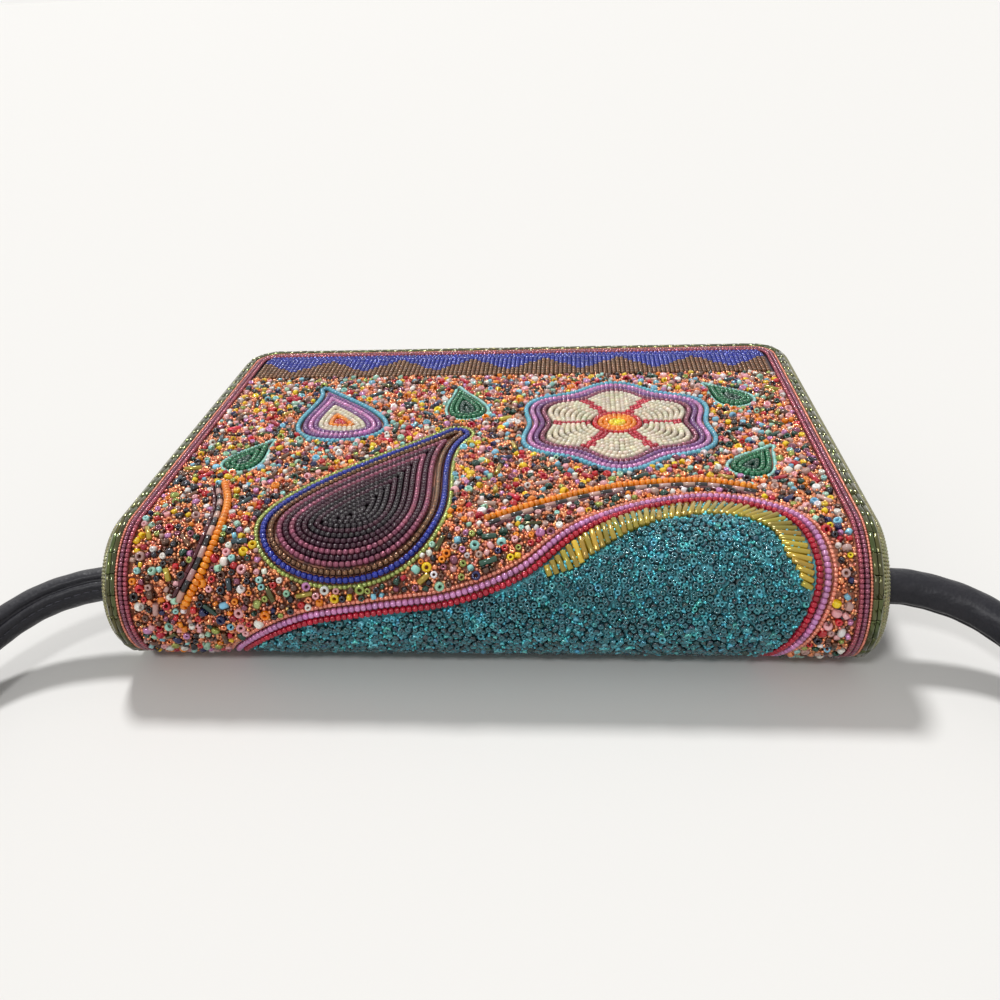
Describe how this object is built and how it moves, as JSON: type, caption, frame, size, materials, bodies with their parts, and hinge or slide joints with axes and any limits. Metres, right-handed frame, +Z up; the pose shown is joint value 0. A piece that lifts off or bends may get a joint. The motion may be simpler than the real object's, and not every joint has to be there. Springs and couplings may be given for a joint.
{
  "type": "beaded clutch",
  "caption": "Flap clutch covered in glass beadwork, lying on its back, with a rolled shoulder strap looped in front of its fold.",
  "frame": {"origin": "centre of the bag's footprint on the surface it lies on, the strap left out", "axes": "+X across the bag, +Y from the fold to the flap's free edge, +Z up out of the flap"},
  "size_m": [0.318, 0.3102, 0.0453],
  "materials": {
    "black_cover": "matt woven cover on board",
    "lining": "plain woven lining",
    "leather": "smooth leather, satin",
    "cloth": "plain ground cloth",
    "steel": "plated, satin",
    "scatter": "mixed glass seed beads",
    "teal": "glass seed beads, glossy",
    "crimson": "glass seed beads, glossy",
    "lilac": "glass seed beads, glossy",
    "plum": "glass seed beads, glossy",
    "bronze": "metallic glass seed beads",
    "cobalt": "glass seed beads, glossy",
    "olive": "transparent glass bugles",
    "khaki": "silver-lined glass seed beads",
    "gold_olive": "silver-lined glass bugles",
    "cream": "opaque glass seed beads",
    "orange": "opaque glass seed beads",
    "purple": "glass seed beads, glossy",
    "sky": "opaque glass seed beads",
    "emerald": "glass seed beads, glossy",
    "jet": "opaque black glass bugles"
  },
  "bodies": {
    "bag_body": {"back_panel": "black_cover", "front_panel": "black_cover", "gusset_left": "black_cover", "gusset_right": "black_cover", "bottom_panel": "black_cover", "pouch_lining": "lining", "snap_socket": "steel", "strap_collar_left": "leather", "strap_collar_right": "leather", "shoulder_strap": "leather", "fold_cloth": "cloth", "fold_teal_field": "teal", "fold_scatter_left": "scatter", "fold_scatter_right": "scatter", "fold_crimson_row_left": "crimson", "fold_crimson_row_right": "crimson", "fold_lilac_row_left": "lilac", "fold_lilac_row_right": "lilac", "fold_plum_row_left": "plum", "fold_plum_row_right": "plum", "fold_bugle_edging_left": "olive", "fold_bugle_edging_right": "olive", "fold_khaki_row_left": "khaki", "fold_khaki_row_right": "khaki"},
    "flap": {"flap_board": "black_cover", "flap_lining": "lining", "snap_stud": "steel", "flap_cloth": "cloth", "flap_teal_field": "teal", "flap_scatter": "scatter", "flap_crimson_row": "crimson", "flap_lilac_row": "lilac", "flap_plum_row": "plum", "flap_bugle_edging": "olive", "flap_khaki_row": "khaki", "olive_fringe": "gold_olive", "plum_paisley": "plum", "paisley_bronze_row": "bronze", "paisley_cobalt_row": "cobalt", "mauve_paisley": "purple", "mauve_paisley_row": "sky", "blossom_heart": "orange", "blossom_petals": "cream", "blossom_band": "purple", "blossom_blue_row": "sky", "leaf_middle": "emerald", "leaf_left": "emerald", "leaf_right_low": "emerald", "leaf_right_high": "emerald", "orange_garland_left": "orange", "orange_garland_right": "orange", "jet_garland_left": "jet", "jet_garland_right": "jet", "cobalt_zigzag": "cobalt", "bronze_border": "bronze"}
  },
  "joints": [
    {"name": "flap_hinge", "type": "hinge", "parent": "bag_body", "child": "flap", "pos_m": [0, -0.0793, 0.0225], "axis": [1, 0, 0], "range_deg": [0, 160]}
  ]
}
